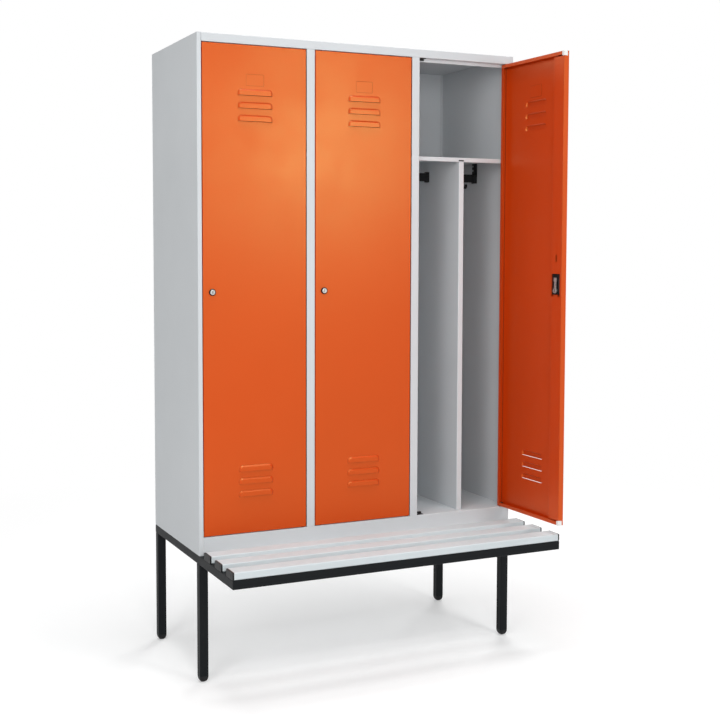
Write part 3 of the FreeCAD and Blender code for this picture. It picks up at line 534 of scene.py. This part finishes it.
def make_base_fasteners():
    """Bolts that hold the cabinet to the frame and screws that hold the slats, all from below."""
    bolt_places = {}
    for rail in ("cross_rail", "rear_rail"):
        for x in (-BOLT_FROM_MIDDLE, BOLT_FROM_MIDDLE):
            seat = Vector((x, middle(rail).y, RAIL_UNDERSIDE))
            bolt_places[f"base_bolt_{len(bolt_places)}"] = seat
    screw_places = {}
    for slat in ("front", "middle", "rear"):
        for rail in ("left", "right"):
            x, y = middle(f"side_rail_{rail}").x, middle(f"bench_slat_{slat}").y
            screw_places[f"slat_screw_{slat}_{rail}"] = Vector((x, y, RAIL_UNDERSIDE))
    bolts = repeat(make_hex_bolt, bolt_places)
    screws = repeat(lambda name, seat: make_pan_screw(name, seat, **SLAT_SCREW), screw_places)
    for piece in bolts + screws:
        fit(piece, "carcass", screw_zinc)


def make_bracket_screws():
    """Two screws through each wall plate of the coat rails."""
    pattern = make_pan_screw("bracket_screw_pattern", Vector(), **BRACKET_SCREW)
    low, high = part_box("rail_brackets")
    for side in SIDES:
        shelf_low, shelf_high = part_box(f"hat_shelf_{side}")
        for end_name, wall, inwards in (("left", shelf_low.x, 1), ("right", shelf_high.x, -1)):
            turn = Matrix.Rotation(-inwards * math.pi / 2, 4, "Y")
            for i, drop in enumerate(BRACKET_SCREW_DROPS):
                seat = (wall + inwards * BRACKET_PLATE, low.y + BRACKET_SCREW_BACK, high.z - drop)
                name = f"bracket_screw_{side}_{end_name}_{i}"
                screw = copy_to(pattern, name, Matrix.Translation(seat) @ turn)
                fit(screw, "carcass", screw_zinc)
    bpy.data.objects.remove(pattern, do_unlink=True)


# Key slots.

PLUG_FACE_FROM_JOINT = 0.016
# Size and place of the black piece that paints shade into each key slot.
SLOT_SHADE_WIDTH, SLOT_SHADE_DEPTH, SLOT_SHADE_HEIGHT, SLOT_SHADE_RECESS = 0.0022, 0.0030, 0.0094, 0.0007
SLOT_SHADE_BEVEL, SLOT_SHADE_RIM, SLOT_SHADE_DISH = 0.0003, 0.0004, 0.0006


def make_key_slot_shades():
    """Painted shade: a black piece in the key slot of each lock, a little behind the face of the plug."""
    deselect()
    bpy.ops.mesh.primitive_cube_add(size=1.0, location=(0.0, SLOT_SHADE_RECESS + SLOT_SHADE_DEPTH / 2, 0.0),
                                    scale=(SLOT_SHADE_WIDTH, SLOT_SHADE_DEPTH, SLOT_SHADE_HEIGHT))
    pattern = begin("key_slot_shade_pattern")
    pick_edges(pattern, lambda a, b: max(a.y, b.y) < SLOT_SHADE_RECESS + NEAR)
    bpy.ops.mesh.bevel(offset=SLOT_SHADE_BEVEL, segments=2, affect="EDGES")
    pick_faces(pattern, lambda normal: normal.y < -FLAT)
    bpy.ops.mesh.inset(thickness=SLOT_SHADE_RIM, depth=-SLOT_SHADE_DISH)
    end(pattern)
    for joint in frame["record"]["behaviour"]["joints"]:
        if joint["name"].startswith("lock_"):
            axis = Vector(joint["axis"])
            turn = Matrix.Rotation(math.atan2(axis.x, -axis.y), 4, "Z")
            place = Matrix.Translation(Vector(joint["pos_m"]) + axis * PLUG_FACE_FROM_JOINT)
            side = joint["child"].removeprefix("lock_")
            slot_shade = copy_to(pattern, f"key_slot_shade_{side}", place @ turn)
            fit(slot_shade, joint["child"], black_plastic)
    bpy.data.objects.remove(pattern, do_unlink=True)


# Floor, light and camera.

FLOOR_RADIUS = 14.0
FLOOR_GREY = (0.84, 0.84, 0.84, 1.0)
FLOOR_LIFT = 0.24
FADE_START, FADE_END = 1.2, 3.4
AMBIENT = 0.30


def seen_rays(tree):
    """1 for a ray that shows what lies behind the object, to the camera or in a mirror or glass."""
    light_path = tree.nodes.new("ShaderNodeLightPath")
    seen = light_path.outputs["Is Camera Ray"]
    for ray in ("Is Glossy Ray", "Is Transmission Ray"):
        either = tree.nodes.new("ShaderNodeMath")
        either.operation = "MAXIMUM"
        tree.links.new(seen, either.inputs[0])
        tree.links.new(light_path.outputs[ray], either.inputs[1])
        seen = either.outputs["Value"]
    return seen


def join_shaders(tree, kind, *sockets):
    """An Add or Mix Shader node with its inputs linked in order."""
    node = tree.nodes.new(kind)
    for source, target in zip(sockets, node.inputs):
        tree.links.new(source, target)
    return node.outputs["Shader"]


def make_floor():
    """Pale floor that keeps the shadow and fades to the white of the background."""
    deselect()
    bpy.ops.mesh.primitive_circle_add(vertices=96, radius=FLOOR_RADIUS, fill_type="NGON",
                                      location=(0.0, 0.0, 0.0))
    floor = bpy.context.object
    floor.name = floor.data.name = "studio_floor"
    paper = Finish("pale_floor")
    paper.shader.inputs["Base Color"].default_value = FLOOR_GREY
    paper.shader.inputs["Roughness"].default_value = 0.9
    paper.shader.inputs["Specular IOR Level"].default_value = 0.0
    x, y, _ = paper.parts()
    fade = paper.spread(paper.distance(x, y), FADE_START, FADE_END)
    lift = paper.nodes.new("ShaderNodeEmission")
    lift.inputs["Strength"].default_value = FLOOR_LIFT
    white = paper.nodes.new("ShaderNodeEmission")

    tree = paper.material.node_tree
    matt = paper.shader.outputs["BSDF"]
    lifted = join_shaders(tree, "ShaderNodeAddShader", matt, lift.outputs["Emission"])
    faded = join_shaders(tree, "ShaderNodeMixShader", fade, lifted, white.outputs["Emission"])
    shown = join_shaders(tree, "ShaderNodeMixShader", seen_rays(tree), matt, faded)
    tree.links.new(shown, paper.nodes["Material Output"].inputs["Surface"])
    floor.data.materials.append(paper.material)


def light_the_room():
    """Even light from all around, and white where the background shows."""
    world = bpy.data.worlds.new("studio")
    bpy.context.scene.world = world
    world.use_nodes = True
    tree = world.node_tree
    around = tree.nodes["Background"]
    white = tree.nodes.new("ShaderNodeBackground")
    for background, strength in ((around, AMBIENT), (white, 1.0)):
        background.inputs["Color"].default_value = (1.0, 1.0, 1.0, 1.0)
        background.inputs["Strength"].default_value = strength
    shown = join_shaders(tree, "ShaderNodeMixShader", seen_rays(tree),
                         around.outputs["Background"], white.outputs["Background"])
    tree.links.new(shown, tree.nodes["World Output"].inputs["Surface"])


def add_softbox(name, place, target, size, watts):
    lamp = bpy.data.lights.new(name, "AREA")
    lamp.shape = "RECTANGLE"
    lamp.size, lamp.size_y = size
    lamp.energy = watts
    softbox = bpy.data.objects.new(name, lamp)
    softbox.location = place
    softbox.rotation_euler = (Vector(target) - Vector(place)).to_track_quat("-Z", "Y").to_euler()
    bpy.context.collection.objects.link(softbox)


def hang_softboxes():
    add_softbox("key_softbox", place=(1.43, -3.75, 2.15), target=(-0.1, CABINET_FRONT, 1.45),
                size=(0.75, 0.75), watts=28.0)
    add_softbox("front_fill", place=(-1.7, -4.4, 1.9), target=(0.0, 0.0, 1.3),
                size=(1.4, 1.4), watts=50.0)
    add_softbox("left_fill", place=(-3.4, -2.9, 2.9), target=(0.0, 0.0, 1.7),
                size=(1.6, 1.6), watts=50.0)
    add_softbox("top_softbox", place=(-0.2, -0.9, 7.0), target=(0.0, -0.2, 0.4),
                size=(3.5, 3.0), watts=230.0)
    add_softbox("rear_fill", place=(2.8, 3.6, 2.4), target=(0.0, 0.3, 1.2),
                size=(2.0, 2.0), watts=90.0)


def set_camera():
    """Camera of the photo, from the left and a little above the middle, fitted to the object's corners."""
    eye = Vector((-1.82561, -3.65099 + CABINET_FRONT, 1.43419))
    yaw, pitch, roll = 0.42662, 0.06212, 0.00072
    image_pixels, focal_pixels = 720.0, 1184.20
    centre_x, centre_y = 320.0, 322.0
    data = bpy.data.cameras.new("photo_camera")
    camera = bpy.data.objects.new("photo_camera", data)
    camera.location = eye
    aim = Euler((math.pi / 2 - pitch, 0.0, -yaw)).to_matrix()
    camera.rotation_euler = (aim @ Matrix.Rotation(roll, 3, "Z")).to_euler()
    data.sensor_width = 36.0
    data.lens = focal_pixels / image_pixels * data.sensor_width
    data.shift_x = (image_pixels / 2 - centre_x) / image_pixels
    data.shift_y = (centre_y - image_pixels / 2) / image_pixels
    data.clip_start, data.clip_end = 0.05, 100.0
    bpy.context.collection.objects.link(camera)
    bpy.context.scene.camera = camera


dress_cad_nodes()
make_feet()
make_base_fasteners()
make_bracket_screws()
make_key_slot_shades()
make_floor()
light_the_room()
hang_softboxes()
set_camera()
bpy.context.scene.view_settings.view_transform = "Standard"
